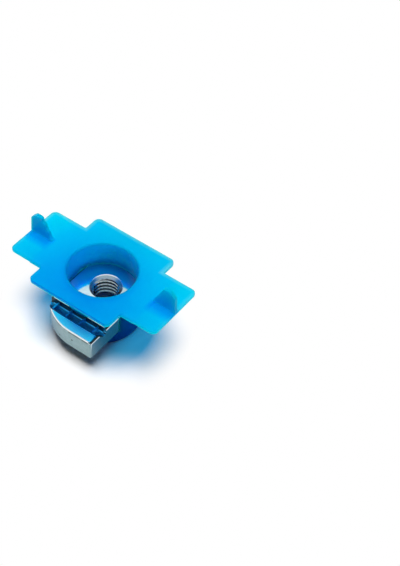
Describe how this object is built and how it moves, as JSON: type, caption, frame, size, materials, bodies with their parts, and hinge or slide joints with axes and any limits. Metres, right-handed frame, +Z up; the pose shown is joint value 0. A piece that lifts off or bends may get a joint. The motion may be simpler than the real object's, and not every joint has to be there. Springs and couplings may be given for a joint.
{
  "type": "channel nut",
  "caption": "Toothed steel channel nut held in a translucent blue moulded retainer with a cross-shaped plate, a collar and upright fins, for fixing bolts to strut channel.",
  "frame": {"origin": "on the thread's axis, at the level of the retainer's foot ring", "axes": "+Z up the thread, out of the collar's mouth; +X along the wings of the plate; +Y along the bar"},
  "size_m": [0.048, 0.0358, 0.0242],
  "materials": {
    "zinc_steel": "bright zinc plate",
    "blue_plastic": "translucent, semi-gloss"
  },
  "bodies": {
    "root": {"channel_nut": "zinc_steel", "retainer": "blue_plastic"}
  },
  "joints": []
}
